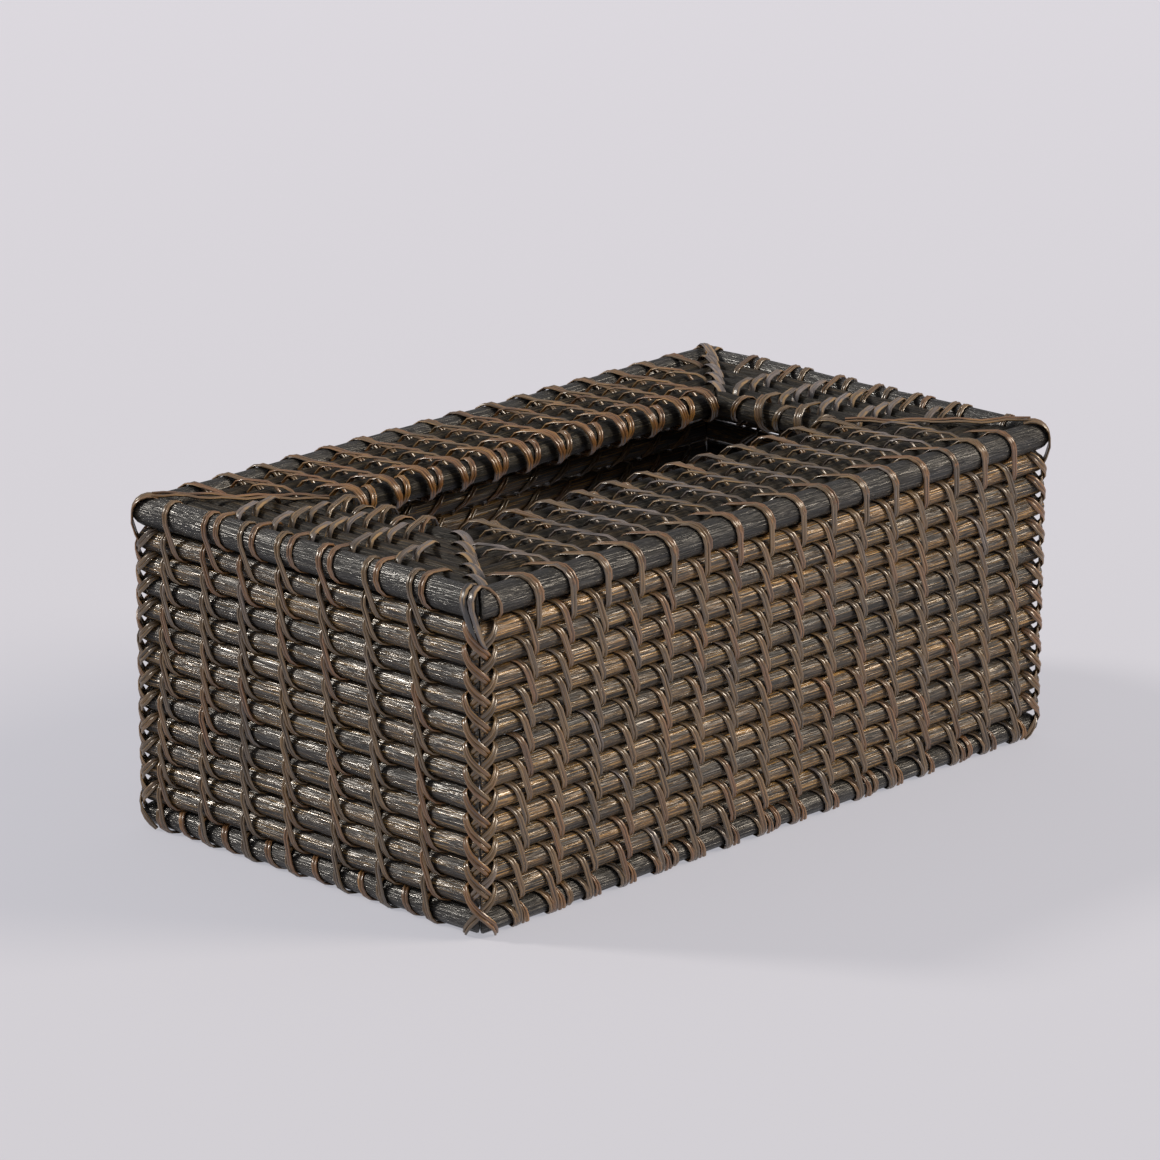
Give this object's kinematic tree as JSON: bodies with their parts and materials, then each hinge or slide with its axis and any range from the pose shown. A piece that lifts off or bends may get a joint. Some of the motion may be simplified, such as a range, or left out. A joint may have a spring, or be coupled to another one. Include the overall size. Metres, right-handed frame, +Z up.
{
  "type": "tissue box cover",
  "caption": "Rectangular cover of dark lashed rattan canes that stands over a carton of tissues, with mitred top strips around a long slot for drawing tissues and an open foot.",
  "frame": {"origin": "middle of the foot, on the surface that the cover stands on", "axes": "+X along the long side, -Y out of the front, where the top strip is widest, +Z up through the slot"},
  "size_m": [0.26, 0.148, 0.1048],
  "materials": {
    "rim_cane": "near-black stained rattan cane, satin",
    "wall_cane": "dark grey-brown stained rattan core, fibrous, satin",
    "top_cane": "dark stained rattan core, fibrous, matt",
    "lashing_strip": "brown stained split rattan, satin",
    "braid_strip": "brown stained split rattan, satin"
  },
  "bodies": {
    "root": {"front_base_rim": "rim_cane", "front_wall_canes": "wall_cane", "front_top_rim": "rim_cane", "front_top_cane_1": "top_cane", "front_top_cane_2": "top_cane", "front_top_cane_3": "top_cane", "front_top_cane_4": "top_cane", "front_top_cane_5": "top_cane", "front_opening_rim": "rim_cane", "front_lashings": "lashing_strip", "front_base_wraps": "lashing_strip", "front_opening_wraps": "lashing_strip", "right_base_rim": "rim_cane", "right_wall_canes": "wall_cane", "right_top_rim": "rim_cane", "right_top_cane_1": "top_cane", "right_top_cane_2": "top_cane", "right_top_cane_3": "top_cane", "right_top_cane_4": "top_cane", "right_opening_rim": "rim_cane", "right_lashings": "lashing_strip", "right_base_wraps": "lashing_strip", "right_opening_wraps": "lashing_strip", "back_base_rim": "rim_cane", "back_wall_canes": "wall_cane", "back_top_rim": "rim_cane", "back_top_cane_1": "top_cane", "back_top_cane_2": "top_cane", "back_top_cane_3": "top_cane", "back_top_cane_4": "top_cane", "back_opening_rim": "rim_cane", "back_lashings": "lashing_strip", "back_base_wraps": "lashing_strip", "back_opening_wraps": "lashing_strip", "left_base_rim": "rim_cane", "left_wall_canes": "wall_cane", "left_top_rim": "rim_cane", "left_top_cane_1": "top_cane", "left_top_cane_2": "top_cane", "left_top_cane_3": "top_cane", "left_top_cane_4": "top_cane", "left_opening_rim": "rim_cane", "left_lashings": "lashing_strip", "left_base_wraps": "lashing_strip", "left_opening_wraps": "lashing_strip", "corner_braid_front_left": "braid_strip", "mitre_braid_front_left": "braid_strip", "corner_braid_front_right": "braid_strip", "mitre_braid_front_right": "braid_strip", "corner_braid_back_right": "braid_strip", "mitre_braid_back_right": "braid_strip", "corner_braid_back_left": "braid_strip", "mitre_braid_back_left": "braid_strip"}
  },
  "joints": []
}
